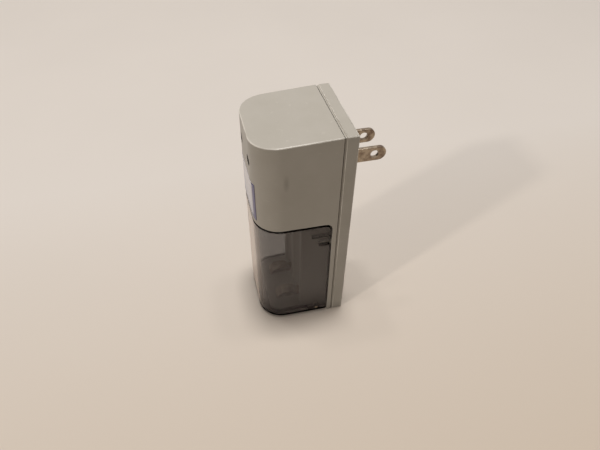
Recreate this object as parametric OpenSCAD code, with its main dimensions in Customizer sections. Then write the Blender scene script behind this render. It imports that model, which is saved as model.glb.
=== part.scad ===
// Plug-in two-cell charger: an upright wall-plug housing with flat blades at the back,
// a hinged smoked cover over an open cell bay, and two indicator lamps on the rounded front.
// Every module is drawn with y = 0 at the front face and +y towards the wall, then placed()
// moves it so that the origin is the bottom centre of the whole part, blades included.

/* [Housing] */
// Width of the body at the parting line
body_w = 39; // [37:0.5:43]
// Height of the body at the parting line
body_h = 99; // [97:0.5:108]
// Depth of the front shell, from the front face to the parting line
shell_d = 32.8; // [32.5:0.1:37]
// Thickness of the rear cover, from the parting line to the wall face
rear_t = 5.7; // [4.8:0.1:7]
// Wall of the front shell
wall = 2; // [1.6:0.1:2.4]
// Wall of the rear cover behind the parts it carries
rear_wall = 2; // [1.6:0.1:2.4]
// Radius of the two upright front corners
corner_r = 11; // [8:0.5:12.5]
// Mould draft of the sides, narrowing to the front, in degrees
side_draft = 1.1; // [0:0.1:1.5]
// Slope of the top, falling to the front, in degrees
top_draft = 2.9; // [0:0.1:3.5]
// Radius of the rounded edge round the top
top_edge_r = 0.5; // [0.4:0.1:1.5]
// Width of the groove along the parting line
groove_w = 1; // [0.6:0.1:1.4]
// Depth of the groove along the parting line
groove_d = 0.4; // [0.3:0.1:1]
// Radius of the rear cover's corners seen from behind
rear_corner_r = 0.5; // [0.4:0.1:2]

/* [Smoked cover] */
// Height of the cover's top edge
cover_h = 56.8; // [56:0.2:58]
// Distance from the front face to the cover's rear edge
cover_reach = 30.4; // [30:0.1:31]
// Wall of the cover
cover_wall = 1.8; // [1.4:0.1:2.2]
// Gap between the cover's rear edge and the shell
edge_gap = 0.5; // [0.4:0.1:0.8]
// Gap between the cover's top edge and the shell
top_gap = 1; // [0.6:0.1:1.4]
// Radius of the rounded edge round the cover's floor
floor_edge_r = 1.5; // [0.5:0.1:1.5]
// Gap between the cover's floor and the hinge knuckles
floor_gap = 1; // [0.6:0.1:1.4]
// Radius of the cover's upper rear corners
cover_corner_r = 2.5; // [1:0.5:4]
// Distance from the front face to the hinge axis
hinge_y = 25.8; // [25:0.1:26.2]
// Height of the hinge axis
hinge_z = 2.8; // [2.6:0.1:3]
// Radius of the hinge pins
pin_r = 1; // [0.8:0.1:1.2]
// Radial running clearance of the hinge pins in the cover
pin_clear = 0.05; // [0.02:0.01:0.1]
// Height of the snap finger's lower edge
finger_z = 48.6; // [46:0.2:50]
// Height of the snap finger
finger_h = 2.4; // [2:0.1:3]
// Length of the snap finger
finger_l = 8; // [6:0.5:9]
// Height of the notch below the finger
notch_h = 2.7; // [2:0.1:3.5]
// Length of the notch below the finger
notch_l = 4.8; // [4:0.1:6]
// Height of the slit above the finger
slit_h = 0.6; // [0.5:0.1:0.8]

/* [Cell bay] */
// Diameter of a cell
cell_d = 14.5; // [14:0.1:14.8]
// Distance between the axes of the two cells
cell_pitch = 15.6; // [15.2:0.1:15.8]
// Distance from the front face to the cell axes
cell_y = 13.5; // [13:0.1:14]
// Radial room round a cell in its trough
cell_clear = 0.35; // [0.2:0.05:0.5]
// Distance from the front face to the front of the pod behind the cells
pod_front = 18.5; // [18:0.1:19]
// Wall of the pod
pod_wall = 1.8; // [1.4:0.1:2]
// Gap between the pod's sides and the cover
pod_gap = 0.7; // [0.6:0.05:1]
// Distance from the front face to the front of the cell ledge
ledge_front = 4.4; // [4:0.1:6]
// Thickness of the cell ledge
ledge_t = 1.6; // [1.4:0.1:2]
// Gap between the cell ledge and the cover's floor
ledge_gap = 0.6; // [0.5:0.05:1]
// Thickness of the contact strips
strip_t = 0.5; // [0.3:0.05:0.6]
// Width of the contact strips
strip_w = 5; // [4:0.2:6]
// Height of the sprung arch of a negative contact
arch_h = 3; // [2:0.2:3.6]

/* [Plug] */
// Distance between the blades
blade_pitch = 12.7; // [12.5:0.1:12.9]
// Width of a blade
blade_w = 6.35; // [6:0.05:6.6]
// Thickness of a blade
blade_t = 1.5; // [1.3:0.05:1.65]
// Length of a blade beyond the wall face
blade_out = 16.9; // [16:0.1:18.2]
// Distance from the top of the body down to the middle of the blades
blade_drop = 18.5; // [17:0.1:19.5]
// Radius of the hole in a blade
blade_hole_r = 1.65; // [1.5:0.05:2.1]
// Distance from the wall face to the hole in a blade
blade_hole_y = 12; // [11:0.1:12.4]
// Height of the shoulder that seats a blade inside the rear cover
shoulder_h = 9; // [8:0.2:10]

/* [Transformer] */
// Width of the laminated core
core_w = 30; // [28:0.5:31]
// Gap between the top of the laminated core and the upper screw bosses
core_gap = 1.4; // [1:0.1:4]
// Depth of the stack of laminations
core_stack = 12; // [10:0.5:12.5]
// Width of the core's limbs and yokes
limb_w = 5; // [4:0.1:5.4]
// Distance from the parting line forward to the middle of the stack
core_back = 12.1; // [11.9:0.1:12.3]
// Reach of the windings beyond the stack
wind_out = 3.2; // [2.4:0.1:3.4]
// Wall of the bobbin
bobbin_wall = 0.8; // [0.6:0.05:1]

/* [Board and lamps] */
// Width of the circuit board
board_w = 28; // [25:0.5:29]
// Gap between the deck and the lower edge of the circuit board
board_lift = 2; // [1.6:0.1:3]
// Gap between the upper edge of the circuit board and the inside of the top
board_room = 2; // [1:0.1:3]
// Thickness of the circuit board
board_t = 1.6; // [1:0.1:1.6]
// Distance from the front face to the front of the circuit board
board_y = 8.7; // [8.4:0.1:8.8]
// Distance between the two lamps
lamp_pitch = 15; // [14:0.5:18]
// Distance from the top of the body at the parting line down to the lamps
lamp_drop = 12.3; // [10:0.1:13]
// Radius of a lamp
lamp_r = 1.5; // [1.3:0.1:1.6]
// Length of a lamp
lamp_l = 5.3; // [4.8:0.1:5.6]
// Radial room round a lamp in its hole
lamp_clear = 0.7; // [0.2:0.05:0.8]

/* [Label] */
// Half width of the label, measured straight across
label_half = 12.6; // [8:0.2:13]
// Distance from the lower edge of the shell up to the label
label_lift = 2.4; // [1.8:0.2:4]
// Distance from the lamp holes down to the label
label_gap = 6.3; // [5:0.1:12]
// Thickness of the label
label_t = 0.15; // [0.1:0.01:0.2]

/* [Screws] */
// Radius of a housing screw's thread
screw_r = 1.3; // [1.1:0.05:1.4]
// Radius of a housing screw's head
head_r = 2.4; // [2.2:0.05:2.6]
// Height of a housing screw's head
head_h = 1.6; // [1.2:0.1:2]
// Length of a housing screw's thread
screw_l = 9; // [7:0.5:10]
// Radius of the bosses that take the screws
boss_r = 2.8; // [2.5:0.1:3]
// Height of the lower screws
low_screw_z = 9; // [8.5:0.5:14]
// Distance from the top of the body to the upper screws
high_screw_drop = 9; // [7:0.5:11]

/* [Fits] */
// Room between pieces that are seated in one another
fit = 0.05; // [0.03:0.01:0.1]
// Radial room round a screw's thread where it passes through
screw_clear = 0.2; // [0.1:0.05:0.3]
// Radial room round a screw's head in its counterbore
head_clear = 0.4; // [0.2:0.05:0.6]
// Depth of a screw's head below the wall face
head_recess = 0.6; // [0.4:0.1:1]
// Room between the locating lip and the shell
lip_gap = 0.2; // [0.1:0.05:0.3]

/* [Hidden] */
$fn = 64;
round_fn = 48;

abs_grey = [0.72, 0.69, 0.64];
smoke = [0.25, 0.22, 0.21, 0.55];
nickel = [0.78, 0.75, 0.70];
steel = [0.62, 0.62, 0.63];
copper = [0.72, 0.42, 0.22];

// How far a cutting shape runs past what it cuts
past = 1;
// How far a rib, boss or joined length runs into the wall that carries it
sink = 0.2;
// Width of the step where a rounded edge meets the wall below it
seam = 0.02;

// Depths, all from the front face
body_d = shell_d + rear_t;
rear_inner_y = body_d - rear_wall;
open_y = cover_reach + edge_gap;

// Heights of the upper compartment
shell_low = cover_h + top_gap;
deck_z = shell_low + wall;

// Pod behind the cells
trough_r = cell_d / 2 + cell_clear;
pod_back = cell_y + trough_r + pod_wall;
ledge_z = cover_wall + ledge_gap;
ledge_top = ledge_z + ledge_t;
knuckle_r = hinge_z;
floor_end = hinge_y - knuckle_r - floor_gap;

// Heights that hang from the top
blade_z = body_h - blade_drop;
lamp_z = body_h - lamp_drop;
label_z = shell_low + label_lift;
label_h = lamp_z - lamp_r - lamp_clear - label_gap - label_z;
high_screw_z = body_h - high_screw_drop;

// Transformer
core_rib_h = 1;
core_z = deck_z + core_rib_h;
core_h = high_screw_z - boss_r - core_gap - core_z;
core_y = shell_d - core_back;
rib_w = 1.6;
rib_x = core_w / 2 - limb_w / 2;
window_h = core_h - 2 * limb_w;
window_z = core_z + limb_w;

// Circuit board
board_z = deck_z + board_lift;
board_h = roof_z(board_y) - board_room - board_z;
board_back = board_y + board_t;
small_screw_r = 0.9;
small_screw_l = 3.5;
small_head_r = 1.8;
small_head_h = 0.8;

// Lamps, just behind the front face
lamp_tip = 1;
lamp_base = lamp_tip + lamp_l;
collar_rim = 0.4;
collar_r = lamp_r + collar_rim;

// Posts that carry the board, between the contact tails and the lamps
tail_reach = 3;
post_r = 2;
post_edge = 0.4;
post_gap = 1;
post_x = board_w / 2 - post_r - post_edge;
low_post_z = board_z + tail_reach + post_r + post_edge;
high_post_z = lamp_z - collar_r - post_r - post_gap;
post_zs = [low_post_z, high_post_z];

// Depth of a hinge pin in the pod, and the wall left at its blind end
pin_in = 3.5;
pin_end = 0.5;

// Diodes
diode_r = 1.35;
diode_l = 5.2;

// Contact strips and the wires from them
tail_w = 3;
tab_h = 6;
wire_r = 0.45;
wire_x = cell_pitch / 2 - strip_w / 2 + wire_r / 2;

// Blade seats inside the rear cover
shoulder_d = 1.7;
tail_h = 4;
clamp_t = 2;
clamp_y = rear_inner_y - shoulder_d;
tail_out = 1.3;
tail_y = clamp_y - clamp_t - tail_out;

// Bobbin and windings
window_w = (core_w - 4 * limb_w) / 2;
tube_x = limb_w + fit + bobbin_wall;
tube_y = core_stack / 2 + fit + bobbin_wall;
flange_rim = 0.4;
flange_y = core_stack / 2 + wind_out + flange_rim;
terminal_r = bobbin_wall / 2;

// Screws
boss_gap = 0.4;
boss_end = 3;
high_screw_x = half_w(shell_d) - wall - boss_r + sink;
low_screw_x = half_w(cover_reach) - cover_wall - pod_gap - pod_wall - boss_r - boss_gap;
bore_r = head_r + head_clear;
bore_depth = head_h + head_recess;
head_seat_y = body_d - bore_depth;

// Half width of the body at depth y
function half_w(y) = body_w / 2 - (shell_d - y) * tan(side_draft);

// Height of the inside of the top at depth y
function roof_z(y) = body_h - (shell_d - y) * tan(top_draft) - wall / cos(top_draft);

// Half width of the pod, level all along so that the cover can swing past it
pod_half = half_w(corner_r) - cover_wall - pod_gap;

// Moves a piece from the front face to the part's own origin
module placed() {
    translate([0, -(body_d + blade_out - label_t) / 2, 0])
        children();
}

// Extrudes an outline drawn in (y, z) across the width, centred on x = 0
module across(width) {
    translate([-width / 2, 0, 0])
        rotate([90, 0, 90])
            linear_extrude(width)
                children();
}

// Cylinder along +y from depth y0 to depth y1
module rod_y(x, z, y0, y1, r) {
    translate([x, y0, z])
        rotate([-90, 0, 0])
            cylinder(r = r, h = y1 - y0);
}

// Repeats a piece on the left and right
module both_sides() {
    children();
    mirror([1, 0, 0])
        children();
}

// Plan of the body seen from above, drawn in by inset: drafted sides and round front corners
module plan(inset, back) {
    round_x = half_w(corner_r) - corner_r / cos(side_draft);
    r = corner_r - inset;
    side_x = round_x + r * cos(side_draft);
    side_y = corner_r - r * sin(side_draft);
    back_x = half_w(back) - inset / cos(side_draft);
    polygon([
        [-round_x, inset], [round_x, inset], [side_x, side_y],
        [back_x, back], [-back_x, back], [-side_x, side_y]
    ]);
    for (side = [-1, 1])
        translate([side * round_x, corner_r])
            circle(r);
}

// Space above the sloping top, drawn in by inset
module above_top(inset) {
    translate([0, 0, body_h - shell_d * tan(top_draft) - inset / cos(top_draft)])
        rotate([top_draft, 0, 0])
            translate([-body_w, -body_w, 0])
                cube([2 * body_w, 4 * body_w, body_w]);
}

// Body form between two heights, under a sloping top that is drawn in by the same inset
module body_form(inset, back, low) {
    difference() {
        translate([0, 0, low])
            linear_extrude(body_h - low + past)
                plan(inset, back);
        above_top(inset);
    }
}

// Upper end of the shell with a rounded edge: plan slices that draw in on a quarter round
// and slope with the top, trimmed level with the top
module crown() {
    steps = 5;
    slope = tan(top_draft);
    edge_z = body_h - shell_d * slope - top_edge_r;
    difference() {
        hull() {
            translate([0, 0, edge_z - top_edge_r])
                linear_extrude(top_edge_r / 2)
                    plan(seam, shell_d, $fn = round_fn);
            for (i = [0:steps]) {
                a = 90 * i / steps;
                lift = edge_z + (top_edge_r + seam) * sin(a) - seam;
                multmatrix([[1, 0, 0, 0], [0, 1, 0, 0], [0, slope, 1, lift], [0, 0, 0, 1]])
                    linear_extrude(seam)
                        plan(seam + (top_edge_r - seam) * (1 - cos(a)), shell_d, $fn = round_fn);
            }
        }
        above_top(0);
    }
}

// Lower end of the smoked cover with a rounded edge: plan slices on a quarter round
module floor_round() {
    steps = 6;
    slice = 0.01;
    hull()
        for (i = [0:steps]) {
            a = 90 * i / steps;
            translate([0, 0, floor_edge_r * (1 - cos(a))])
                linear_extrude(slice)
                    plan(seam + (floor_edge_r - seam) * (1 - sin(a)), shell_d, $fn = round_fn);
        }
}

// Space that the smoked cover takes out of the body, seen from the side
module cover_space() {
    r = cover_corner_r + edge_gap;
    translate([-past, -past])
        square([open_y + past, shell_low - r + past]);
    translate([-past, -past])
        square([open_y - r + past, shell_low + past]);
    translate([open_y - r, shell_low - r])
        circle(r);
}

// Pod and cell ledge seen from the side, round under the hinge
module pod_side() {
    translate([pod_front, ledge_z])
        square([shell_d - pod_front, deck_z - ledge_z]);
    translate([hinge_y, 0])
        square([shell_d - hinge_y, ledge_z + ledge_t]);
    translate([hinge_y, hinge_z])
        circle(knuckle_r);
    translate([ledge_front, ledge_z])
        square([pod_front - ledge_front + ledge_t, ledge_t]);
}

// Skin of the upper compartment, its deck over the cells and the flange round the pod
module shell_skin() {
    crown_z = body_h - shell_d * tan(top_draft) - 2 * top_edge_r;
    difference() {
        union() {
            linear_extrude(crown_z + sink)
                plan(0, shell_d);
            crown();
        }
        body_form(wall, shell_d + past, -past);
        across(2 * body_w)
            cover_space();
    }
    intersection() {
        body_form(wall / 2, shell_d, 0);
        translate([-body_w, 0, shell_low])
            cube([2 * body_w, shell_d, wall]);
    }
    intersection() {
        body_form(0, shell_d, 0);
        translate([-body_w, open_y, 0])
            cube([2 * body_w, shell_d - open_y, shell_low + wall]);
    }
}

// Solid pod with its ledge, kept inside the cover
module pod_block() {
    intersection() {
        across(2 * pod_half)
            pod_side();
        linear_extrude(deck_z)
            plan(cover_wall + pod_gap, shell_d + past);
    }
}

// Hollow behind the pod, open to the upper compartment and to the rear
module pod_hollow() {
    half = pod_half - pod_wall;
    translate([-half, pod_back, pod_wall])
        cube([2 * half, shell_d + past - pod_back, deck_z + past - pod_wall]);
}

// Trough that cradles one cell
module trough() {
    translate([cell_pitch / 2, cell_y, ledge_top])
        cylinder(r = trough_r, h = shell_low - ledge_top);
}

// Bosses, posts and ribs moulded inside the front shell
module shell_fixings() {
    pin_boss_l = pin_in + pin_end;
    both_sides() {
        rod_y(high_screw_x, high_screw_z, shell_d - screw_l - boss_end, shell_d, boss_r);
        rod_y(low_screw_x, low_screw_z, pod_back - pod_wall / 2, shell_d, boss_r);
        translate([pod_half - pin_boss_l, hinge_y, hinge_z])
            rotate([0, 90, 0])
                cylinder(r = knuckle_r - sink, h = pin_boss_l - pod_wall / 2);
        translate([rib_x - rib_w / 2, core_y - core_stack / 2, deck_z - sink])
            cube([rib_w, pod_back - core_y + core_stack / 2, core_rib_h + sink]);
        translate([rib_x - rib_w / 2, core_y - core_stack / 2 - rib_w - fit, deck_z - sink])
            cube([rib_w, rib_w, core_h / 2]);
    }
    intersection() {
        both_sides()
            for (z = post_zs)
                rod_y(post_x, z, 0, board_y, post_r);
        body_form(wall / 2, shell_d, 0);
    }
}

// Moulded front housing with the upper compartment, the cell bay and the hinge knuckles
module front_shell() {
    color(abs_grey)
        placed()
            difference() {
                union() {
                    difference() {
                        union() {
                            shell_skin();
                            pod_block();
                        }
                        pod_hollow();
                        both_sides()
                            trough();
                    }
                    shell_fixings();
                }
                both_sides() {
                    rod_y(lamp_pitch / 2, lamp_z, -past, corner_r, lamp_r + lamp_clear);
                    rod_y(high_screw_x, high_screw_z, shell_d - screw_l, shell_d + past, screw_r + fit);
                    rod_y(low_screw_x, low_screw_z, shell_d - screw_l, shell_d + past, screw_r + fit);
                    for (z = post_zs)
                        rod_y(post_x, z, board_y - small_screw_l - fit, board_y + past, small_screw_r + fit);
                    pin_bore();
                    contact_slots();
                }
            }
}

// Blind bore for one hinge pin
module pin_bore() {
    translate([pod_half - pin_in, hinge_y, hinge_z])
        rotate([0, 90, 0])
            cylinder(r = pin_r + fit / 2, h = body_w);
}

// Slots that let the contact strips out of the bay
module contact_slots() {
    translate([cell_pitch / 2 - tail_w / 2 - fit, board_back, shell_low - past])
        cube([tail_w + 2 * fit, strip_t + 2 * fit, wall + 2 * past]);
    translate([cell_pitch / 2 - strip_w / 2 - fit, cell_y, ledge_top])
        cube([strip_w + 2 * fit, pod_back - cell_y + past, strip_t + 2 * fit]);
}

// Rectangle with round corners, seen from behind, drawn in by inset
module rear_outline(inset) {
    half = body_w / 2 - inset;
    r = rear_corner_r;
    translate([-half, inset + r])
        square([2 * half, body_h - 2 * inset - 2 * r]);
    translate([-half + r, inset])
        square([2 * (half - r), body_h - 2 * inset]);
    for (x = [-half + r, half - r])
        for (z = [inset + r, body_h - inset - r])
            translate([x, z])
                circle(r);
}

// Extrudes an outline drawn in (x, z) from depth y0 to depth y1
module slab_y(y0, y1) {
    translate([0, y1, 0])
        rotate([90, 0, 0])
            linear_extrude(y1 - y0)
                children();
}

// Lip on the rear cover that drops inside the upper compartment
module locating_lip() {
    lip_l = 1.6;
    lip_t = 1.2;
    lip_low = deck_z + core_rib_h;
    inner = wall + lip_gap;
    intersection() {
        difference() {
            body_form(inner, shell_d + rear_t, lip_low);
            body_form(inner + lip_t, shell_d + rear_t + past, lip_low - past);
            both_sides()
                rod_y(high_screw_x, high_screw_z, 0, shell_d, boss_r + lip_gap);
        }
        translate([-body_w, shell_d - lip_l, lip_low])
            cube([2 * body_w, lip_l + rear_t - rear_wall + sink, body_h]);
    }
}

// Rear cover with the parting groove, blade slots, screw tubes and the ribs that hold the core
module rear_cover() {
    rim = wall + lip_gap + sink;
    tube_wall = 1;
    tube_r = bore_r + tube_wall;
    clamp_post_r = 2.2;
    rib_l = core_h / 2;
    color(abs_grey)
        placed()
            difference() {
                union() {
                    difference() {
                        union() {
                            slab_y(shell_d + groove_w, body_d)
                                rear_outline(0);
                            slab_y(shell_d, shell_d + groove_w + sink)
                                rear_outline(groove_d);
                        }
                        translate([-body_w / 2 + rim, shell_d - past, rim])
                            cube([body_w - 2 * rim, rear_inner_y - shell_d + past, body_h - 2 * rim]);
                    }
                    locating_lip();
                    both_sides() {
                        rod_y(high_screw_x, high_screw_z, shell_d, rear_inner_y + sink, tube_r);
                        rod_y(low_screw_x, low_screw_z, shell_d, rear_inner_y + sink, tube_r);
                        translate([rib_x - rib_w / 2, core_y + core_stack / 2 + fit, core_z + rib_w / 2])
                            cube([rib_w, rear_inner_y + sink - core_y - core_stack / 2, rib_l]);
                    }
                    rod_y(0, blade_z, clamp_y, rear_inner_y + sink, clamp_post_r);
                }
                both_sides() {
                    rod_y(high_screw_x, high_screw_z, shell_d - past, body_d + past, screw_r + screw_clear);
                    rod_y(low_screw_x, low_screw_z, shell_d - past, body_d + past, screw_r + screw_clear);
                    rod_y(high_screw_x, high_screw_z, head_seat_y, body_d + past, bore_r);
                    rod_y(low_screw_x, low_screw_z, head_seat_y, body_d + past, bore_r);
                    translate([blade_pitch / 2, body_d, blade_z])
                        cube([blade_t + 2 * fit, 4 * rear_wall, blade_w + 2 * fit], center = true);
                }
                rod_y(0, blade_z, clamp_y - past, rear_inner_y + sink, small_screw_r + fit);
            }
}

// Smoked cover seen from the side: round at the upper rear, and round the hinge at the lower rear
module cover_side() {
    swing_r = cover_reach - hinge_y;
    square([hinge_y, cover_h]);
    translate([0, hinge_z])
        square([cover_reach, cover_h - cover_corner_r - hinge_z]);
    square([cover_reach - cover_corner_r, cover_h]);
    translate([cover_reach - cover_corner_r, cover_h - cover_corner_r])
        circle(cover_corner_r);
    intersection() {
        translate([hinge_y, hinge_z])
            circle(swing_r);
        square([cover_reach, cover_h]);
    }
}

// Cuts that free the snap finger in the cover's sides
module finger_cuts() {
    across(2 * body_w) {
        translate([cover_reach - finger_l, finger_z + finger_h])
            square([finger_l + past, slit_h]);
        translate([cover_reach - notch_l, finger_z - notch_h])
            square([notch_l + past, notch_h]);
    }
}

// Hinged tub of smoked plastic: front, sides and floor
module smoked_cover() {
    color(smoke)
        placed()
            difference() {
                intersection() {
                    union() {
                        translate([0, 0, floor_edge_r - sink])
                            linear_extrude(cover_h - floor_edge_r + sink)
                                plan(0, shell_d);
                        floor_round();
                    }
                    across(2 * body_w)
                        cover_side();
                }
                translate([0, 0, cover_wall])
                    linear_extrude(cover_h)
                        plan(cover_wall, shell_d + past);
                intersection() {
                    translate([0, 0, -past])
                        linear_extrude(cover_h)
                            plan(cover_wall, shell_d + past);
                    translate([-body_w, floor_end, -past])
                        cube([2 * body_w, shell_d, cover_h]);
                }
                finger_cuts();
                translate([-body_w, hinge_y, hinge_z])
                    rotate([0, 90, 0])
                        cylinder(r = pin_r + pin_clear, h = 2 * body_w);
            }
}

// Two short pins pressed into the pod, on which the cover turns
module hinge_pins() {
    recess = 0.2;
    start = pod_half - pin_in + fit;
    color(nickel)
        placed()
            both_sides()
                translate([start, hinge_y, hinge_z])
                    rotate([0, 90, 0])
                        cylinder(r = pin_r, h = half_w(hinge_y) - recess - start);
}

// Printed label that wraps a little way round the front corners
module front_label() {
    color([0.80, 0.82, 0.90])
        placed()
            intersection() {
                translate([0, 0, label_z])
                    linear_extrude(label_h)
                        difference() {
                            plan(-label_t, shell_d);
                            plan(0, shell_d + past);
                        }
                translate([-label_half, -past, label_z])
                    cube([2 * label_half, corner_r, label_h]);
            }
}

// Four self-tapping screws that close the housing from behind
module housing_screws() {
    tip_room = 0.8;
    tip_y = shell_d - screw_l + tip_room;
    color(steel)
        placed()
            both_sides()
                for (at = [[high_screw_x, high_screw_z], [low_screw_x, low_screw_z]]) {
                    rod_y(at[0], at[1], tip_y, head_seat_y + sink, screw_r);
                    rod_y(at[0], at[1], head_seat_y, head_seat_y + head_h, head_r);
                }
}

// Plug blade: round end, hole, and inside the housing a shoulder and a solder tail
module blade() {
    color(nickel)
        placed()
            translate([blade_pitch / 2, 0, blade_z])
                across(blade_t)
                    difference() {
                        union() {
                            translate([clamp_y, -blade_w / 2])
                                square([body_d + blade_out - blade_w / 2 - clamp_y, blade_w]);
                            translate([body_d + blade_out - blade_w / 2, 0])
                                circle(blade_w / 2);
                            translate([clamp_y, -shoulder_h / 2])
                                square([shoulder_d, shoulder_h]);
                            translate([tail_y, -tail_h / 2])
                                square([clamp_y - tail_y + sink, tail_h]);
                        }
                        translate([body_d + blade_hole_y, 0])
                            circle(blade_hole_r);
                    }
}

module right_blade() {
    blade();
}

module left_blade() {
    mirror([1, 0, 0])
        blade();
}

// Insulating bar that holds the blades' shoulders against the rear cover
module blade_clamp() {
    margin = 3.2;
    bar_w = blade_pitch + blade_t + 2 * margin;
    color([0.25, 0.25, 0.26])
        placed()
            difference() {
                translate([-bar_w / 2, clamp_y - clamp_t, blade_z - shoulder_h / 2])
                    cube([bar_w, clamp_t, shoulder_h]);
                both_sides()
                    translate([blade_pitch / 2, clamp_y, blade_z])
                        cube([blade_t + 2 * fit, 3 * clamp_t, tail_h + 2 * fit], center = true);
                rod_y(0, blade_z, clamp_y - clamp_t - past, clamp_y + past, small_screw_r + fit);
            }
}

// Small screw that draws the clamp to the rear cover, its head towards the front
module clamp_screw() {
    seat = clamp_y - clamp_t;
    color(steel)
        placed() {
            rod_y(0, blade_z, seat - small_head_h, seat, small_head_r);
            rod_y(0, blade_z, seat - sink, rear_inner_y, small_screw_r);
        }
}

// Laminated iron core with two windows
module transformer_core() {
    color([0.35, 0.35, 0.37])
        placed()
            slab_y(core_y - core_stack / 2, core_y + core_stack / 2)
                difference() {
                    translate([-core_w / 2, core_z])
                        square([core_w, core_h]);
                    for (x = [-limb_w - window_w, limb_w])
                        translate([x, window_z])
                            square([window_w, window_h]);
                }
}

// Rectangle centred on the core's middle limb with round corners
module coil_plan(half_x, half_y, r) {
    translate([-half_x, core_y - half_y + r])
        square([2 * half_x, 2 * (half_y - r)]);
    translate([-half_x + r, core_y - half_y])
        square([2 * (half_x - r), 2 * half_y]);
    for (x = [-half_x + r, half_x - r])
        for (y = [core_y - half_y + r, core_y + half_y - r])
            translate([x, y])
                circle(r);
}

// Hole through the bobbin for the middle limb
module limb_plan() {
    translate([-limb_w - fit, core_y - core_stack / 2 - fit])
        square([2 * (limb_w + fit), core_stack + 2 * fit]);
}

// Two-chamber bobbin with three flanges and two terminals at the rear
module transformer_bobbin() {
    low = window_z + fit;
    tall = window_h - 2 * fit;
    round_r = 0.5;
    terminal_l = 1.7;
    color([0.85, 0.85, 0.80])
        placed() {
            difference() {
                union() {
                    translate([0, 0, low])
                        linear_extrude(tall)
                            coil_plan(tube_x, tube_y, round_r);
                    for (z = [low, low + (tall - bobbin_wall) / 2, low + tall - bobbin_wall])
                        translate([0, 0, z])
                            linear_extrude(bobbin_wall)
                                coil_plan(limb_w + window_w - fit, flange_y, round_r);
                }
                translate([0, 0, low - past])
                    linear_extrude(tall + 2 * past)
                        limb_plan();
            }
            both_sides()
                rod_y(blade_pitch / 2, low + terminal_r, core_y + flange_y - bobbin_wall,
                      core_y + flange_y + terminal_l, terminal_r);
        }
}

// One winding, wrapped round the bobbin between two flanges
module winding(chamber) {
    low = window_z + fit + bobbin_wall + chamber * (window_h - 2 * fit - bobbin_wall) / 2;
    tall = (window_h - 2 * fit - 3 * bobbin_wall) / 2;
    wind_gap = 0.3;
    round_r = 1.5;
    translate([0, 0, low + fit])
        linear_extrude(tall - 2 * fit)
            difference() {
                coil_plan(limb_w + window_w - wind_gap, core_stack / 2 + wind_out, round_r);
                translate([-tube_x - fit, core_y - tube_y - fit])
                    square([2 * (tube_x + fit), 2 * (tube_y + fit)]);
            }
}

module primary_winding() {
    color(copper)
        placed()
            winding(0);
}

module secondary_winding() {
    color([0.80, 0.68, 0.30])
        placed()
            winding(1);
}

// Thermal fuse strapped to the primary winding
module thermal_fuse() {
    fuse_r = 1.1;
    fuse_l = 8;
    fuse_y = core_y + core_stack / 2 + wind_out + fuse_r + fit;
    color([0.85, 0.80, 0.65])
        placed()
            translate([-fuse_l / 2, fuse_y, window_z + window_h / 4])
                rotate([0, 90, 0])
                    cylinder(r = fuse_r, h = fuse_l);
}

// Wires from the blades' tails down to the bobbin's terminals
module primary_leads() {
    lead_r = 0.6;
    low = window_z + fit + 2 * terminal_r;
    color([0.15, 0.15, 0.16])
        placed()
            both_sides()
                translate([blade_pitch / 2, tail_y + lead_r, low])
                    cylinder(r = lead_r, h = blade_z - tail_h / 2 - low);
}

// Short wires from the bobbin forward to the circuit board
module secondary_leads() {
    lead_x = limb_w;
    color([0.75, 0.15, 0.12])
        placed()
            both_sides()
                rod_y(lead_x, window_z + window_h - fit - terminal_r, board_back,
                      core_y - flange_y, terminal_r);
}

// Circuit board on four posts behind the front
module circuit_board() {
    color([0.16, 0.42, 0.24])
        placed()
            difference() {
                translate([-board_w / 2, board_y, board_z])
                    cube([board_w, board_t, board_h]);
                both_sides()
                    for (z = post_zs)
                        rod_y(post_x, z, board_y - past, board_back + past, small_screw_r + fit);
            }
}

// Four screws that hold the board
module board_screws() {
    color(steel)
        placed()
            both_sides()
                for (z = post_zs) {
                    rod_y(post_x, z, board_y - small_screw_l, board_back + sink, small_screw_r);
                    rod_y(post_x, z, board_back, board_back + small_head_h, small_head_r);
                }
}

// Indicator lamp with a round end and a collar
module lamp() {
    collar_l = 1;
    color([0.45, 0.10, 0.08])
        placed() {
            translate([lamp_pitch / 2, lamp_tip + lamp_r, lamp_z])
                sphere(lamp_r);
            rod_y(lamp_pitch / 2, lamp_z, lamp_tip + lamp_r, lamp_base, lamp_r);
            rod_y(lamp_pitch / 2, lamp_z, lamp_base - collar_l, lamp_base, collar_r);
        }
}

module right_lamp() {
    lamp();
}

module left_lamp() {
    mirror([1, 0, 0])
        lamp();
}

// Tubes that hold the lamps off the board
module lamp_spacers() {
    spacer_wall = 1;
    hole_r = collar_r - spacer_wall;
    color([0.10, 0.10, 0.10])
        placed()
            both_sides()
                difference() {
                    rod_y(lamp_pitch / 2, lamp_z, lamp_base, board_y, collar_r);
                    rod_y(lamp_pitch / 2, lamp_z, lamp_base - past, board_y + past, hole_r);
                }
}

// Four rectifier diodes side by side against the front of the board
module rectifier_diodes() {
    pitch = 4;
    color([0.12, 0.12, 0.13])
        placed()
            for (i = [-1.5:1:1.5])
                translate([i * pitch, board_y - diode_r - fit, board_z + tail_reach])
                    cylinder(r = diode_r, h = diode_l);
}

// Two resistors that set the charging current, lying in line above the diodes
module charge_resistors() {
    resistor_r = 1.25;
    resistor_l = 6.5;
    row_gap = 0.4;
    end_gap = 0.5;
    row_z = board_z + tail_reach + diode_l + row_gap + resistor_r;
    color([0.70, 0.60, 0.42])
        placed()
            both_sides()
                translate([end_gap, board_y - resistor_r - fit, row_z])
                    rotate([0, 90, 0])
                        cylinder(r = resistor_r, h = resistor_l);
}

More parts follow.
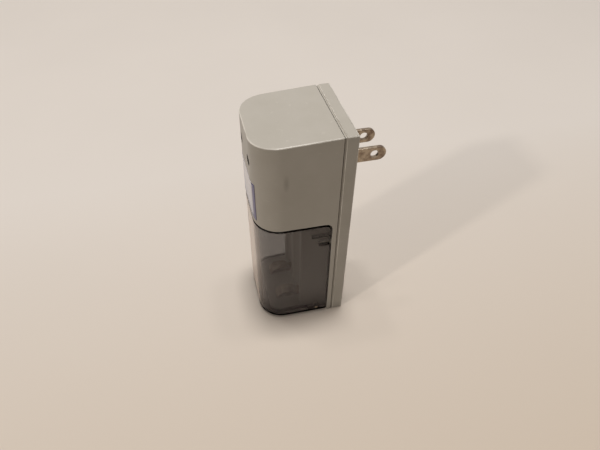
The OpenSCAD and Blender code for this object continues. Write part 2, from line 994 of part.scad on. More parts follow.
// Smoothing capacitor standing on the board between the lamps
module smoothing_capacitor() {
    can_r = 3.15;
    can_l = 5.8;
    color([0.13, 0.18, 0.32])
        placed()
            rod_y(0, lamp_z, board_y - can_l - fit, board_y - fit, can_r);
}

// Two transistors behind the board's upper edge, above the core, with their flats to the board
module charge_transistors() {
    body_r = 2.4;
    body_l = 4.6;
    flat = 1.4;
    edge = 1.2;
    color([0.10, 0.10, 0.11])
        placed()
            both_sides()
                translate([limb_w, board_back + fit, board_z + board_h - edge - body_l])
                    intersection() {
                        translate([0, flat, 0])
                            cylinder(r = body_r, h = body_l);
                        translate([-body_r, 0, 0])
                            cube([2 * body_r, 2 * body_r, body_l]);
                    }
}

// Positive contacts under the deck, each with a button and a tail up to the board
module positive_contacts() {
    button_r = 2;
    button_h = 0.8;
    front = board_back + fit;
    color(nickel)
        placed()
            both_sides()
                translate([cell_pitch / 2, 0, shell_low]) {
                    translate([-strip_w / 2, front, -strip_t])
                        cube([strip_w, cell_y + strip_w / 2 - front, strip_t]);
                    translate([-tail_w / 2, front, -strip_t])
                        cube([tail_w, strip_t, board_z + tail_reach - shell_low + strip_t]);
                    translate([0, cell_y, -strip_t - button_h])
                        cylinder(r = button_r, h = button_h + sink);
                }
}

// Sprung arch of a negative contact seen from the side, free at its rear end
module arch_side() {
    half = strip_w;
    lift = 0.3;
    r = (half * half + arch_h * arch_h) / (2 * arch_h);
    intersection() {
        translate([0, arch_h - r])
            difference() {
                circle(r);
                circle(r - strip_t);
            }
        union() {
            translate([-half - past, -strip_t / 2])
                square([half + past, arch_h + past]);
            translate([0, lift])
                square([half + past, arch_h + past]);
        }
    }
}

// Negative contacts on the ledge: a foot, a sprung arch and a tab behind the pod
module negative_contacts() {
    foot_front = cell_y - strip_w;
    tab_y = pod_back + fit;
    color(nickel)
        placed()
            both_sides()
                translate([cell_pitch / 2, 0, ledge_top + fit]) {
                    translate([-strip_w / 2, foot_front, 0])
                        cube([strip_w, tab_y + strip_t - foot_front, strip_t]);
                    translate([-strip_w / 2, tab_y, 0])
                        cube([tail_w, strip_t, tab_h]);
                    translate([0, cell_y, strip_t])
                        across(strip_w)
                            arch_side();
                }
}

// Wires from the negative contacts up behind the pod, over the deck and up to the board
module cell_leads() {
    rise_y = pod_back + 2 * fit + strip_t + wire_r;
    run_z = deck_z + wire_r;
    end_y = board_y + board_t / 2;
    start_z = ledge_top + tab_h / 2;
    color([0.12, 0.12, 0.12])
        placed()
            both_sides()
                translate([wire_x, 0, 0]) {
                    translate([0, rise_y, start_z])
                        cylinder(r = wire_r, h = run_z - start_z);
                    translate([0, rise_y, run_z])
                        sphere(wire_r);
                    rod_y(0, run_z, end_y, rise_y, wire_r);
                    translate([0, end_y, run_z])
                        sphere(wire_r);
                    translate([0, end_y, run_z])
                        cylinder(r = wire_r, h = board_z - run_z);
                }
}

front_shell();
rear_cover();
smoked_cover();
hinge_pins();
front_label();
housing_screws();
left_blade();
right_blade();
blade_clamp();
clamp_screw();
transformer_core();
transformer_bobbin();
primary_winding();
secondary_winding();
thermal_fuse();
primary_leads();
secondary_leads();
circuit_board();
board_screws();
left_lamp();
right_lamp();
lamp_spacers();
rectifier_diodes();
charge_resistors();
smoothing_capacitor();
charge_transistors();
positive_contacts();
negative_contacts();
cell_leads();
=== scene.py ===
import bmesh
import bpy
import numpy as np
from mathutils import Matrix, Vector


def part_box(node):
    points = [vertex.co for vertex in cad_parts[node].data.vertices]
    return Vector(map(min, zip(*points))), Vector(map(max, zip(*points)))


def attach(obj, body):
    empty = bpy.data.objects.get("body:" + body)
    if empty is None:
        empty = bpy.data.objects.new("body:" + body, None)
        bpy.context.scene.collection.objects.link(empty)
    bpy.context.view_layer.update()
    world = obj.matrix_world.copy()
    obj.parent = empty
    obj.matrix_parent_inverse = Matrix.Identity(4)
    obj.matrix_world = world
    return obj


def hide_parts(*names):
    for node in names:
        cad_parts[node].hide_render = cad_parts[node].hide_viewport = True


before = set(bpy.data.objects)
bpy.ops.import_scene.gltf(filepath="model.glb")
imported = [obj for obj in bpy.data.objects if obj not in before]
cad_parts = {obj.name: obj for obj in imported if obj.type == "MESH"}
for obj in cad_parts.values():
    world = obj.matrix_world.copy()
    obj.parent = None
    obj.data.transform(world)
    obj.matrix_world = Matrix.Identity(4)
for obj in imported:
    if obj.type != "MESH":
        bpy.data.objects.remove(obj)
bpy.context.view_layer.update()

# Front shell, upper part: an injection-moulded ABS box with a 2 mm wall, open to the rear, that narrows to
# the front with the mould's draft. Its front corners are large quarter rounds, and its two lamp holes have a
# thin edge that flares to the inside. Four screws from behind hold it to the rear cover.
mm = 0.001
body_half, body_top, parting_y = 19.5, 99.0, 32.8
corner_r, side_end_y, top_edge_r, rim_r = 11.0, 11.5, 0.5, 0.3
side_slope, top_slope = np.tan(np.radians(1.1)), np.tan(np.radians(2.9))
shell_low, shell_wall, opening_y, opening_r = 57.8, 2.0, 30.9, 3.0
lamp_x, lamp_z, lamp_hole_r, hole_edge, flare_r, flare_end = 7.5, 86.7, 2.2, 0.12, 4.0, 1.98
rear_points, side_points, corner_points, front_points = 6, 20, 40, 8
front_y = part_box("front_shell")[0].y


def placed(points):
    """Millimetres with y from the front face, as metres in the part's frame."""
    return np.asarray(points, float) * mm + (0.0, front_y, 0.0)


def half_width(y):
    """Half the body's width at depth y: it narrows evenly to the front."""
    return body_half - (parting_y - y) * side_slope


def roof(y):
    """Height of the top at depth y: it falls evenly to the front."""
    return body_top - (parting_y - y) * top_slope


side_tilt = np.arctan(side_slope)
round_x = half_width(corner_r) - corner_r / np.cos(side_tilt)


def body_plan(inset, side_y):
    """Outline from the left side round the front to the right side, drawn in by inset: straight sides
    at the depths side_y, quarter rounds of radius corner_r - inset about round_x, and a straight front."""
    r = corner_r - inset
    turn = np.linspace(-side_tilt, -np.pi / 2, corner_points)
    x = np.concatenate([half_width(side_y) - inset / np.cos(side_tilt), round_x + r * np.cos(turn),
                        np.linspace(round_x, 0, front_points + 1)[1:]])
    y = np.concatenate([side_y, corner_r + r * np.sin(turn), np.full(front_points, inset)])
    right = np.stack([x, y], 1)
    return np.concatenate([right * (-1, 1), right[-2::-1]])


def stacked(plan, heights):
    """Rings of one plan (x, y), each at a height z: one number, or one for each point."""
    return [np.column_stack([plan, z + np.zeros(len(plan))]) for z in heights]


def skin(name, rings, loop=False):
    """A mesh over closed rings [solid, ring, point, xyz] in millimetres: four-sided faces between rings that
    are neighbours, and a flat face on the first and the last, or none where the rings close into a loop."""
    rings = np.reshape(rings, (-1,) + np.shape(rings)[-3:])
    index = np.arange(rings[..., 0].size).reshape(rings.shape[:3])
    low, high = (index, np.roll(index, -1, 1)) if loop else (index[:, :-1], index[:, 1:])
    sides = np.stack([low, np.roll(low, -1, 2), np.roll(high, -1, 2), high], -1).reshape(-1, 4).tolist()
    ends = [] if loop else np.concatenate([index[:, 0, ::-1], index[:, -1]]).tolist()
    mesh = bpy.data.meshes.new(name)
    mesh.from_pydata(placed(rings.reshape(-1, 3)).tolist(), [], sides + ends)
    return mesh


def smooth(mesh, sharp):
    """Merges points that coincide, and shades smooth but for creases past the sharp angle in degrees."""
    merged = bmesh.new()
    merged.from_mesh(mesh)
    bmesh.ops.remove_doubles(merged, verts=merged.verts, dist=0.001 * mm)
    merged.to_mesh(mesh)
    merged.free()
    mesh.shade_smooth()
    mesh.set_sharp_from_angle(angle=np.radians(sharp))


def new_piece(mesh, body, sharp=35.0):
    """An object of a mesh, shaded smooth, riding on a body."""
    smooth(mesh, sharp)
    piece = bpy.data.objects.new(mesh.name, mesh)
    bpy.context.scene.collection.objects.link(piece)
    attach(piece, body)
    return piece


def lathe(profile, centres, axis, count=64):
    """Rings of surfaces of revolution: profile rows are (radius, distance along the axis), the axis is
    0 for x or 1 for y, and there is one solid about each centre."""
    profile = np.asarray(profile, float)
    turn = np.linspace(0, 2 * np.pi, count, endpoint=False)
    cosine, sine = np.cos(turn), np.sin(turn)
    r, along = profile[:, :1], np.repeat(profile[:, 1:], count, 1)
    rings = np.stack([along, r * cosine, r * sine] if axis == 0 else [r * sine, along, r * cosine], -1)
    return rings + np.asarray(centres, float)[:, None, None]


def carve(piece, cutter, sharp=35.0):
    """Cuts the closed solids of a mesh out of a piece, and keeps the result as the piece's own mesh."""
    tool = bpy.data.objects.new("cutter", cutter)
    bpy.context.scene.collection.objects.link(tool)
    cut = piece.modifiers.new("cut", "BOOLEAN")
    cut.operation, cut.solver, cut.object = "DIFFERENCE", "EXACT", tool
    bpy.context.view_layer.update()
    finished = piece.evaluated_get(bpy.context.evaluated_depsgraph_get())
    piece.data = bpy.data.meshes.new_from_object(finished)
    piece.modifiers.clear()
    bpy.data.objects.remove(tool)
    smooth(piece.data, sharp)


def mark_wear_and_highlight(piece, worn_and_highlit):
    """Stores how far each point is rubbed and how strongly it takes the painted edge highlight, 0 to 1, from
    a function of its depth y and height z.
    """
    flat = np.empty(len(piece.data.vertices) * 3, np.float32)
    piece.data.vertices.foreach_get("co", flat)
    spot = (flat.reshape(-1, 3) - (0, front_y, 0)) / mm
    wear_and_highlight = piece.data.attributes.new("wear_and_highlight", "FLOAT", "POINT")
    wear_and_highlight.data.foreach_set("value", worn_and_highlit(spot[:, 1], spot[:, 2]).astype(np.float32))


def across_edge(distance, radius):
    """0 at both ends of a rounded edge and 1 in its middle."""
    share = np.clip(distance / radius, 0, 1)
    return 4 * share * (1 - share)


quarter = np.radians(np.linspace(0, 90, 7))
flange_front_y = opening_y - opening_r
side_y = np.concatenate([np.linspace(parting_y, flange_front_y, rear_points),
                         np.linspace(flange_front_y, side_end_y, side_points)])
behind = np.r_[np.ones(rear_points, bool), np.zeros(side_points + corner_points + front_points, bool)]
behind = np.concatenate([behind, behind[-2::-1]])


def shell_ring(inset, height, flat_behind=False):
    """One ring of the shell: the plan drawn in by inset, at a height that follows the depth. Where the
    flange carries on below, flat_behind keeps the lower edge square."""
    plan = body_plan(inset, side_y)
    z = height(plan[:, 1])
    if flat_behind:
        plan = np.where(behind[:, None], body_plan(0, side_y), plan)
        z = np.where(behind, shell_low, z)
    return np.column_stack([plan, z])


wall_low = shell_low + rim_r
shell_rings = [shell_ring(rim_r * (1 - np.sin(a)), lambda y: shell_low + rim_r * (1 - np.cos(a)) + 0 * y,
                          flat_behind=a < quarter[-1]) for a in quarter]
shell_rings += [shell_ring(0, lambda y: wall_low + share * (roof(y) - top_edge_r - wall_low))
                for share in np.linspace(0.02, 1, 44)]
shell_rings += [shell_ring(top_edge_r * (1 - np.cos(a)), lambda y: roof(y) - top_edge_r * (1 - np.sin(a)))
                for a in quarter[1:]]
shell_upper = new_piece(skin("shell_upper", shell_rings), "housing")

# Cutters reach past the faces they cut, and a turned shape ends in a tiny flat of radius pole_r.
past, pole_r = 1.0, 0.02
hollow_plan = body_plan(shell_wall, np.linspace(parting_y + past, side_end_y, side_points))
hollow_rings = stacked(hollow_plan, (shell_low + shell_wall, roof(hollow_plan[:, 1]) - shell_wall))
carve(shell_upper, skin("hollow", hollow_rings))
hole_profile = [(pole_r, -past), (lamp_hole_r, -past), (lamp_hole_r, hole_edge), (flare_r, flare_end),
                (flare_r, shell_wall + past), (pole_r, shell_wall + past)]
lamp_places = [(-lamp_x, 0, lamp_z), (lamp_x, 0, lamp_z)]
carve(shell_upper, skin("lamp_holes", lathe(hole_profile, lamp_places, axis=1)))
# The top edge and the lower rim are painted paler: partly rubbed, partly a painted highlight.
mark_wear_and_highlight(shell_upper, lambda y, z: across_edge(roof(y) - z, top_edge_r)
          + across_edge(z - shell_low, rim_r) * (y < flange_front_y))
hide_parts("front_shell")


def linear(code):
    """sRGB hex code as linear red, green, blue and alpha."""
    value = np.array([int(code[i:i + 2], 16) for i in (0, 2, 4)]) / 255
    value = np.where(value <= 0.04045, value / 12.92, ((value + 0.055) / 1.055) ** 2.4)
    return (*value.tolist(), 1.0)


def add_node(tree, kind, inputs=None, **settings):
    """Adds one node with its settings, and sets or links its inputs."""
    node = tree.nodes.new(kind)
    for key, value in settings.items():
        setattr(node, key, value)
    for key, value in (inputs or {}).items():
        if isinstance(value, bpy.types.NodeSocket):
            tree.links.new(value, node.inputs[key])
        else:
            node.inputs[key].default_value = value
    return node


def new_material(name, **sockets):
    """A material, its node tree, its shader with these uniform values, and its object coordinates."""
    material = bpy.data.materials.new(name)
    material.use_nodes = True
    tree = material.node_tree
    shader = tree.nodes["Principled BSDF"]
    for key, value in sockets.items():
        shader.inputs[key.replace("_", " ")].default_value = value
    return material, tree, shader, add_node(tree, "ShaderNodeTexCoord").outputs["Object"]


def drive(tree, shader, **sources):
    """Links node outputs to the shader's sockets of these names."""
    for key, source in sources.items():
        tree.links.new(source, shader.inputs[key.replace("_", " ")])


# Warm grey ABS from a finely spark-eroded mould: satin, faintly cloudy from handling, with paler streaks of
# 3 by 0.5 mm where it has rubbed and a thumb mark of 3 by 9 mm on the right side. Its rounded edges are
# painted paler in broken patches: partly rubbed, partly a painted highlight where the edges catch the light.
# The grain is about 0.1 mm on the real one and is drawn at 0.3 mm, so that it shows at all.
abs_plastic, tree, shader, place = new_material("moulded_abs", IOR=1.53)
cloud = add_node(tree, "ShaderNodeTexNoise", {"Vector": place, "Scale": 1 / (16 * mm), "Detail": 4.0,
                                              "Roughness": 0.55})
cloudy = add_node(tree, "ShaderNodeMapRange", {"Value": cloud.outputs["Fac"], "From Min": 0.3,
                                               "From Max": 0.7})
grey = add_node(tree, "ShaderNodeMix", {"Factor": cloudy.outputs["Result"], "A": linear("b4aea3"),
                                        "B": linear("bbb5ab")}, data_type="RGBA")
streak = add_node(tree, "ShaderNodeMapping", {"Vector": place, "Scale": (300, 300, 2200),
                                              "Rotation": (0.5, 0.2, 0)})
rub = add_node(tree, "ShaderNodeTexNoise", {"Vector": streak.outputs["Vector"], "Scale": 1.0,
                                            "Detail": 2.0})
rubbed = add_node(tree, "ShaderNodeMapRange", {"Value": rub.outputs["Fac"], "From Min": 0.66,
                                               "From Max": 0.78, "To Max": 0.16})
# Pale edges: partly wear, partly a painted highlight where the rounded edges catch the light.
worn_and_highlit = add_node(tree, "ShaderNodeAttribute", attribute_name="wear_and_highlight").outputs["Fac"]
chips = add_node(tree, "ShaderNodeMapRange", {"Value": cloud.outputs["Fac"], "From Min": 0.35,
                                              "From Max": 0.55})
chipped_and_highlit = add_node(tree, "ShaderNodeMath", {0: worn_and_highlit, 1: chips.outputs["Result"]}, operation="MULTIPLY")
pale = add_node(tree, "ShaderNodeMath", {0: rubbed.outputs["Result"], 1: chipped_and_highlit.outputs[0]},
                operation="MAXIMUM")
marked = add_node(tree, "ShaderNodeMix", {"Factor": pale.outputs[0], "A": grey.outputs["Result"],
                                          "B": linear("ece6dc")}, data_type="RGBA")
thumb_scale = np.array((250, 700, 220))
thumb_at = placed((19.2, 11.9, 82.0)) * thumb_scale
thumb = add_node(tree, "ShaderNodeMapping", {"Vector": place, "Scale": thumb_scale.tolist(),
                                             "Location": (-thumb_at).tolist()})
away = add_node(tree, "ShaderNodeVectorMath", {0: thumb.outputs["Vector"]}, operation="LENGTH")
smudge = add_node(tree, "ShaderNodeMapRange", {"Value": away.outputs["Value"], "From Min": 0.1,
                                               "From Max": 1.0, "To Min": 0.3, "To Max": 0.0})
handled = add_node(tree, "ShaderNodeMix", {"Factor": smudge.outputs["Result"],
                                           "A": marked.outputs["Result"], "B": linear("5c5348")},
                   data_type="RGBA")
grain = add_node(tree, "ShaderNodeTexNoise", {"Vector": place, "Scale": 1 / (0.3 * mm), "Detail": 2.0})
bump = add_node(tree, "ShaderNodeBump", {"Height": grain.outputs["Fac"], "Strength": 0.12,
                                         "Distance": 0.05 * mm})
gloss = add_node(tree, "ShaderNodeMapRange", {"Value": cloud.outputs["Fac"], "From Min": 0.3,
                                              "From Max": 0.7, "To Min": 0.42, "To Max": 0.34})
drive(tree, shader, Base_Color=handled.outputs["Result"], Roughness=gloss.outputs["Result"],
      Normal=bump.outputs["Normal"])
shell_upper.data.materials.append(abs_plastic)

# Front shell, flange: the rim of the same moulding that runs down behind the cover's rear edges
# and frames the pod. Its inner corners are rounded to follow the cover.
corner_turn = np.radians(np.linspace(0, 90, 13))
upright_points = 30


def flange_ring(side, drop, draw_in):
    """Outline of the flange in (y, z), drawn in by drop along the opening, on the side wall less draw_in:
    straight edges, and a quarter round of radius opening_r + drop at the opening's upper rear corner."""
    r = opening_r + drop
    turn = np.minimum(corner_turn, np.arcsin(opening_r / r))
    centre_z = shell_low - opening_r
    y = np.concatenate([[parting_y, parting_y], np.full(upright_points, opening_y + drop),
                        flange_front_y + r * np.cos(turn)])
    z = np.concatenate([[shell_low, drop], np.linspace(drop, centre_z, upright_points),
                        centre_z + r * np.sin(turn)])
    return np.column_stack([side * (half_width(y) - draw_in), y, z])[::-1]


flange_rings = [flange_ring(-1, rim_r * (1 - np.sin(a)), rim_r * (1 - np.cos(a))) for a in quarter]
flange_rings += [flange_ring(1, rim_r * (1 - np.sin(a)), rim_r * (1 - np.cos(a))) for a in quarter[::-1]]
shell_flange = new_piece(skin("shell_flange", flange_rings), "housing")
shell_flange.data.materials.append(abs_plastic)

# Front shell, pod: the moulded block behind the cells, with two troughs that cradle them, the ledge they
# stand on and the round knuckles that take the hinge pins. Pod and knuckles end just inside the ledge.
pod_half, pod_front, pod_rear, pod_sink, knuckle_sink = 16.58, 18.5, 31.5, 0.2, 0.1
cell_x, cell_y, trough_r = 7.8, 13.5, 7.6
ledge_low, ledge_top, ledge_front, ledge_r = 2.4, 4.0, 4.4, 8.5
hinge_y, hinge_z = 25.8, 2.8
lip_turn = np.arcsin((pod_front - cell_y) / trough_r)
trough_turn = np.linspace(np.pi - lip_turn, lip_turn, 33)
trough = np.column_stack([trough_r * np.cos(trough_turn), cell_y + trough_r * np.sin(trough_turn)])
pod_plan = np.concatenate([[(-pod_half, pod_rear), (-pod_half, pod_front)], trough - (cell_x, 0),
                           trough + (cell_x, 0), [(pod_half, pod_front), (pod_half, pod_rear)]])
pod_rings = stacked(pod_plan, np.linspace(ledge_top - pod_sink, shell_low, 8))
ledge_turn = np.linspace(0, -np.arcsin((corner_r - ledge_front) / ledge_r), 24)
ledge_side = np.column_stack([round_x + ledge_r * np.cos(ledge_turn),
                              corner_r + ledge_r * np.sin(ledge_turn)])
ledge_plan = np.concatenate([[(-pod_half, pod_rear)], ledge_side * (-1, 1), ledge_side[::-1],
                             [(pod_half, pod_rear)]])
ledge_rings = stacked(ledge_plan, (ledge_low, ledge_top))
knuckle_turn = np.radians(np.linspace(180, 270, 17))
knuckle_top = ledge_top - knuckle_sink
knuckle = np.column_stack([hinge_y + hinge_z * np.cos(knuckle_turn),
                           hinge_z + hinge_z * np.sin(knuckle_turn)])
knuckle_side = np.concatenate([[(hinge_y - hinge_z, knuckle_top)], knuckle,
                               [(pod_rear, 0), (pod_rear, knuckle_top)]])
knuckle_rings = [np.insert(knuckle_side, 0, x, axis=1) for x in (-pod_half, pod_half)]
mouldings = (("cell_pod", pod_rings), ("cell_ledge", ledge_rings), ("hinge_knuckle", knuckle_rings))
for name, rings in mouldings:
    moulding = new_piece(skin(name, rings), "housing")
    moulding.data.materials.append(abs_plastic)
    edge = moulding.modifiers.new("mould_radius", "BEVEL")
    edge.width, edge.segments, edge.limit_method, edge.angle_limit = 0.3 * mm, 3, "ANGLE", np.radians(28)
    edge.harden_normals = True

# Cell contacts: strips of nickel-plated spring steel, stamped and bent. The flat ones with a button lie
# under the deck, and the sprung arches stand on the ledge.
# The plating is warm and slightly tarnished, with rolling marks along the strip, 0.15 mm apart.
nickel_plate, tree, shader, place = new_material("nickel_plate", Metallic=1.0)
tarnish = add_node(tree, "ShaderNodeTexNoise", {"Vector": place, "Scale": 1 / (3 * mm), "Detail": 5.0,
                                                "Roughness": 0.6})
dulled = add_node(tree, "ShaderNodeMapRange", {"Value": tarnish.outputs["Fac"], "From Min": 0.42,
                                               "From Max": 0.64})
plate = add_node(tree, "ShaderNodeMix", {"Factor": dulled.outputs["Result"], "A": linear("b0a392"),
                                         "B": linear("76665a")}, data_type="RGBA")
rolled = add_node(tree, "ShaderNodeMapping", {"Vector": place, "Scale": (6500, 250, 6500)})
marks = add_node(tree, "ShaderNodeTexNoise", {"Vector": rolled.outputs["Vector"], "Scale": 1.0,
                                              "Detail": 3.0})
brushed = add_node(tree, "ShaderNodeMapRange", {"Value": marks.outputs["Fac"], "From Min": 0.3,
                                                "From Max": 0.75, "To Min": 0.24, "To Max": 0.44})
bump = add_node(tree, "ShaderNodeBump", {"Height": marks.outputs["Fac"], "Strength": 0.1,
                                         "Distance": 0.03 * mm})
drive(tree, shader, Base_Color=plate.outputs["Result"], Roughness=brushed.outputs["Result"],
      Normal=bump.outputs["Normal"])


def dress(material, *names):
    """Gives CAD nodes their finish."""
    for name in names:
        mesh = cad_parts[name].data
        mesh.materials.clear()
        mesh.materials.append(material)


dress(nickel_plate, "positive_contacts", "negative_contacts")

# Circuit board: glass-fibre laminate with green lacquer, screwed to posts in the shell. The weave shows
# through the lacquer, 0.6 mm from thread to thread. A wave texture repeats every pi / 10 at scale 1.
wave_repeat = np.pi / 10
thread_scale = wave_repeat / (0.6 * mm)


def two_tone(tree, shader, pattern, low, high, *roughness):
    """As a pattern goes from 0 to 1, the base colour goes from low to high, and the roughness, where two
    values are given for it, from the first to the second."""
    tone = add_node(tree, "ShaderNodeMix", {"Factor": pattern, "A": linear(low), "B": linear(high)},
                    data_type="RGBA")
    drive(tree, shader, Base_Color=tone.outputs["Result"])
    if roughness:
        dull = add_node(tree, "ShaderNodeMapRange", {"Value": pattern, "To Min": roughness[0],
                                                     "To Max": roughness[1]})
        drive(tree, shader, Roughness=dull.outputs["Result"])


laminate, tree, shader, place = new_material("lacquered_laminate", Roughness=0.3, IOR=1.52)
weft = add_node(tree, "ShaderNodeTexWave", {"Vector": place, "Scale": thread_scale}, bands_direction="X")
warp = add_node(tree, "ShaderNodeTexWave", {"Vector": place, "Scale": thread_scale}, bands_direction="Z")
weave = add_node(tree, "ShaderNodeMath", {0: weft.outputs["Fac"], 1: warp.outputs["Fac"]},
                 operation="MULTIPLY")
two_tone(tree, shader, weave.outputs[0], "2f6b45", "3d7d54")
dress(laminate, "circuit_board")

# Black epoxy pieces: the moulded diodes and transistors, the lamps' spacers and the bar that clamps the
# blades, matt with a faint grain of 0.2 mm from the filler.
black_epoxy, tree, shader, place = new_material("moulded_epoxy", IOR=1.55)
filler = add_node(tree, "ShaderNodeTexNoise", {"Vector": place, "Scale": 1 / (0.2 * mm), "Detail": 2.0})
two_tone(tree, shader, filler.outputs["Fac"], "1c1c1e", "2a2a2c", 0.4, 0.65)
dress(black_epoxy, "rectifier_diodes", "charge_transistors", "lamp_spacers", "blade_clamp")

# Resistors and thermal fuse: ceramic and card dipped in buff lacquer, which dries with an uneven skin,
# in patches of 1.2 mm.
buff_lacquer, tree, shader, place = new_material("dipped_lacquer", IOR=1.5)
dried = add_node(tree, "ShaderNodeTexNoise", {"Vector": place, "Scale": 1 / (1.2 * mm), "Detail": 3.0})
two_tone(tree, shader, dried.outputs["Fac"], "b89a68", "d0b685", 0.3, 0.5)
dress(buff_lacquer, "charge_resistors", "thermal_fuse")

# Smoothing capacitor: an aluminium can that stands on the board in a shrunk plastic sleeve,
# glossy dark blue with shrink lines of 1 mm.
sleeve, tree, shader, place = new_material("shrunk_sleeve", IOR=1.53)
shrink = add_node(tree, "ShaderNodeTexWave", {"Vector": place, "Scale": wave_repeat / (1 * mm),
                                              "Distortion": 2.0}, bands_direction="Y")
two_tone(tree, shader, shrink.outputs["Fac"], "1f2a4c", "2a365c", 0.18, 0.28)
dress(sleeve, "smoothing_capacitor")

# Wires: tinned copper in black plastic covers, soldered at both ends, with a slightly wavy drawn surface,
# 1.5 mm from wave to wave.
wire_plastic, tree, shader, place = new_material("wire_plastic", IOR=1.53)
drawn = add_node(tree, "ShaderNodeTexNoise", {"Vector": place, "Scale": 1 / (1.5 * mm), "Detail": 2.0})
two_tone(tree, shader, drawn.outputs["Fac"], "1a1a1c", "262628", 0.35, 0.55)
dress(wire_plastic, "primary_leads", "secondary_leads", "cell_leads")

# Transformer core: stacked silicon-iron sheets of 0.5 mm, their edges blue-black from the anneal,
# held between ribs of the rear cover.
iron, tree, shader, place = new_material("silicon_iron", Metallic=1.0)
sheets = add_node(tree, "ShaderNodeTexWave", {"Vector": place, "Scale": wave_repeat / (0.5 * mm)},
                  bands_direction="Y", wave_profile="SAW")
two_tone(tree, shader, sheets.outputs["Fac"], "4a4c52", "75767a", 0.4, 0.6)
dress(iron, "transformer_core")

# Bobbin: moulded nylon, slid over the core's middle limb, creamy and waxy with cloudy patches of 3 mm
# where the light goes a little way in.
nylon, tree, shader, place = new_material("moulded_nylon", IOR=1.53)
milky = add_node(tree, "ShaderNodeTexNoise", {"Vector": place, "Scale": 1 / (3 * mm), "Detail": 2.0})
two_tone(tree, shader, milky.outputs["Fac"], "d9d6c8", "e4e1d5", 0.4, 0.5)
dress(nylon, "transformer_bobbin")

# Windings: enamelled copper wire laid turn by turn round the bobbin's upright tube. The real wire is 0.12
# to 0.3 mm thick, and both are drawn at 0.4 mm so that the turns show.
copper, tree, shader, place = new_material("enamelled_copper", Metallic=1.0, Roughness=0.3)
turns = add_node(tree, "ShaderNodeTexWave", {"Vector": place, "Scale": wave_repeat / (0.4 * mm),
                                             "Distortion": 0.4}, bands_direction="Z")
bump = add_node(tree, "ShaderNodeBump", {"Height": turns.outputs["Fac"], "Strength": 0.6,
                                         "Distance": 0.1 * mm})
two_tone(tree, shader, turns.outputs["Fac"], "8a4a22", "c87a45")
drive(tree, shader, Normal=bump.outputs["Normal"])
dress(copper, "primary_winding", "secondary_winding")

# Lamps: 3 mm light-emitting diodes cast in tinted epoxy, with a domed end and a collar, standing a little
# behind the front face on spacers. The epoxy is faintly hazy, in clouds of 1 mm.
lamp_r, lamp_tip_y, lamp_base_y = 1.5, 1.0, 6.3
collar_r, collar_y, collar_fillet, collar_edge = 1.9, 5.3, 0.05, 0.1
dome = np.radians(np.linspace(4, 90, 14))
dome_profile = np.column_stack([lamp_r * np.sin(dome), lamp_tip_y + lamp_r * (1 - np.cos(dome))])
collar_profile = [(lamp_r, collar_y - collar_fillet), (lamp_r + collar_fillet, collar_y),
                  (collar_r - collar_edge, collar_y), (collar_r, collar_y + collar_edge),
                  (collar_r, lamp_base_y)]
lamp_profile = np.concatenate([dome_profile, collar_profile])
tinted_epoxy, tree, shader, place = new_material("tinted_epoxy", Roughness=0.12, IOR=1.54)
lamp_haze = add_node(tree, "ShaderNodeTexNoise", {"Vector": place, "Scale": 1 / (1 * mm), "Detail": 2.0})
two_tone(tree, shader, lamp_haze.outputs["Fac"], "301a12", "3e2216")
for name, node, side in (("right_lens", "right_lamp", 1), ("left_lens", "left_lamp", -1)):
    lens_rings = lathe(lamp_profile, [(side * lamp_x, 0, lamp_z)], axis=1)
    lens = new_piece(skin(name, lens_rings), "housing", sharp=40)
    lens.data.materials.append(tinted_epoxy)
    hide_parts(node)

# Blades: two flat brass blades with nickel plating, stamped with a round end and one hole each,
# their edges rounded by tumbling. A clamp bar inside holds their shoulders.
blade_x, blade_z, half_w, half_t = 6.35, 80.5, 3.175, 0.75
blade_tip_y, blade_root_y, hole_y, hole_r, blade_edge_r = 55.4, 31.5, 50.5, 1.65, 0.25
flat_points, root_points = 24, 7
tip_turn = np.radians(np.linspace(-90, 90, 33))
tip_out = np.column_stack([np.cos(tip_turn), np.sin(tip_turn)])
tip_y = blade_tip_y - half_w
flat_y = np.linspace(blade_root_y, tip_y, flat_points + 1)[:-1]
root_z = np.linspace(half_w, -half_w, root_points + 2)[1:-1]
outline = np.concatenate([np.column_stack([flat_y, np.full(flat_points, -half_w)]),
                          tip_out * half_w + (tip_y, 0),
                          np.column_stack([flat_y[::-1], np.full(flat_points, half_w)]),
                          np.column_stack([np.full(root_points, blade_root_y), root_z])])
outward = np.concatenate([np.tile((0.0, -1.0), (flat_points, 1)), tip_out,
                          np.tile((0.0, 1.0), (flat_points, 1)), np.zeros((root_points, 2))])
from_hole = outline - (hole_y, 0)
spoke = from_hole / np.linalg.norm(from_hole, axis=1)[:, None]


def blade_ring(x, drop, share):
    """One ring of a blade at height x over its middle plane: share 0 is the hole's edge and 1 the outer
    edge, each backed off by drop, with straight spokes between them."""
    outer = outline - outward * drop
    inner = spoke * (hole_r + drop) + (hole_y, 0)
    return np.column_stack([np.full(len(outline), x), inner + (outer - inner) * share])


edge_turn = np.radians(np.linspace(0, 90, 5))
rounding = [(half_t - blade_edge_r * (1 - np.sin(a)), blade_edge_r * (1 - np.cos(a))) for a in edge_turn]
blade_steps = [(x, drop, 0) for x, drop in rounding]
blade_steps += [(half_t, blade_edge_r, share) for share in (0.25, 0.5, 0.75)]
blade_steps += [(x, drop, 1) for x, drop in rounding[::-1]]
blade_steps += [(-x, drop, share) for x, drop, share in blade_steps[::-1]]
blade_rings = np.array([blade_ring(*step) for step in blade_steps])[:, ::-1]
for name, node, side in (("right_prong", "right_blade", 1), ("left_prong", "left_blade", -1)):
    prong_rings = blade_rings + (side * blade_x, 0, blade_z)
    prong = new_piece(skin(name, prong_rings, loop=True), "housing")
    prong.data.materials.append(nickel_plate)
    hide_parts(node)

